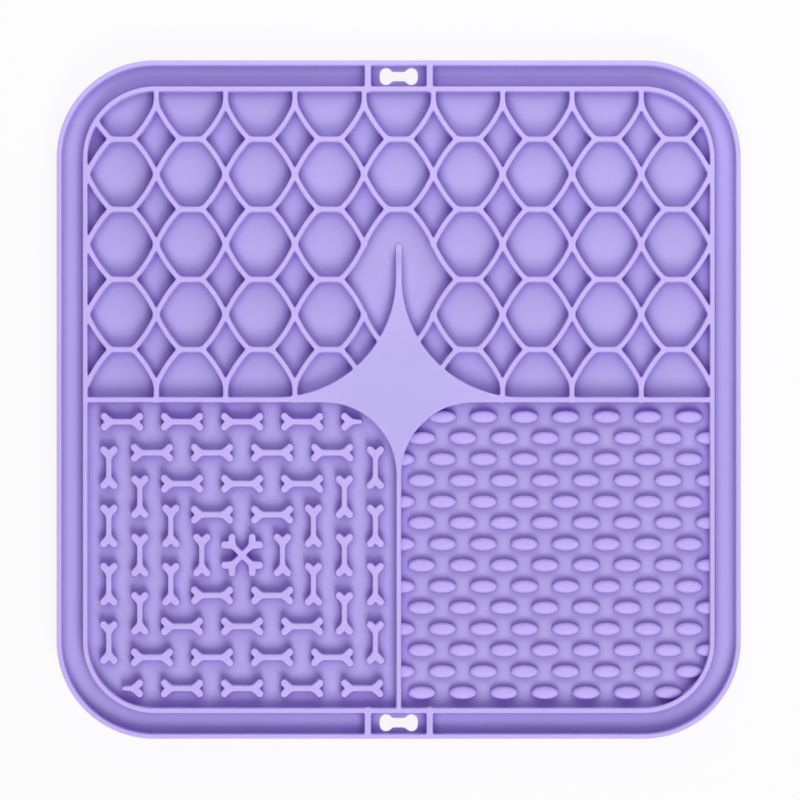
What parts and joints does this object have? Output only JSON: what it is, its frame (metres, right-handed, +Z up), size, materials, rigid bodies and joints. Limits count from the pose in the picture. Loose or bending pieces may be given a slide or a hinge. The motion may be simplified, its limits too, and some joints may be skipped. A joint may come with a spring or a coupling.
{
  "type": "lick mat",
  "caption": "Square silicone lick mat with rounded corners, a drip moat, honeycomb, bone and oval lick panels round a star, bone-shaped hanging holes and suction cups below.",
  "frame": {"origin": "on the table, under the middle of the mat, at the bottom of the suction lips", "axes": "+Z up out of the lick side, +Y towards the honeycomb panel, +X towards the oval nubs"},
  "size_m": [0.2, 0.1984, 0.01],
  "materials": {
    "lilac_silicone": "matte moulded silicone"
  },
  "bodies": {
    "mat": {"field_floor": "lilac_silicone", "moat_floor_left": "lilac_silicone", "moat_floor_right": "lilac_silicone", "hang_tab_back": "lilac_silicone", "hang_tab_front": "lilac_silicone", "outer_rim": "lilac_silicone", "ring_wall": "lilac_silicone", "hang_ribs": "lilac_silicone", "centre_star": "lilac_silicone", "divider_left": "lilac_silicone", "divider_right": "lilac_silicone", "divider_front": "lilac_silicone", "cell_walls_back_right": "lilac_silicone", "cell_walls_back_left": "lilac_silicone", "cell_walls_front_right": "lilac_silicone", "cell_walls_front_left": "lilac_silicone", "cell_bars": "lilac_silicone", "cell_stubs": "lilac_silicone", "crossed_bones": "lilac_silicone", "bone_ring_1": "lilac_silicone", "bone_ring_2": "lilac_silicone", "bone_ring_3": "lilac_silicone", "bone_ring_4": "lilac_silicone", "oval_nubs_odd_rows": "lilac_silicone", "oval_nubs_even_rows": "lilac_silicone", "cup_necks": "lilac_silicone", "cup_bells": "lilac_silicone"},
    "suction_lips": {"cup_lips": "lilac_silicone"}
  },
  "joints": [
    {"name": "cup_press", "type": "slide", "parent": "mat", "child": "suction_lips", "axis": [0, 0, 1], "range_m": [0, 0.0012], "deforming": ["cup_bells"]}
  ]
}
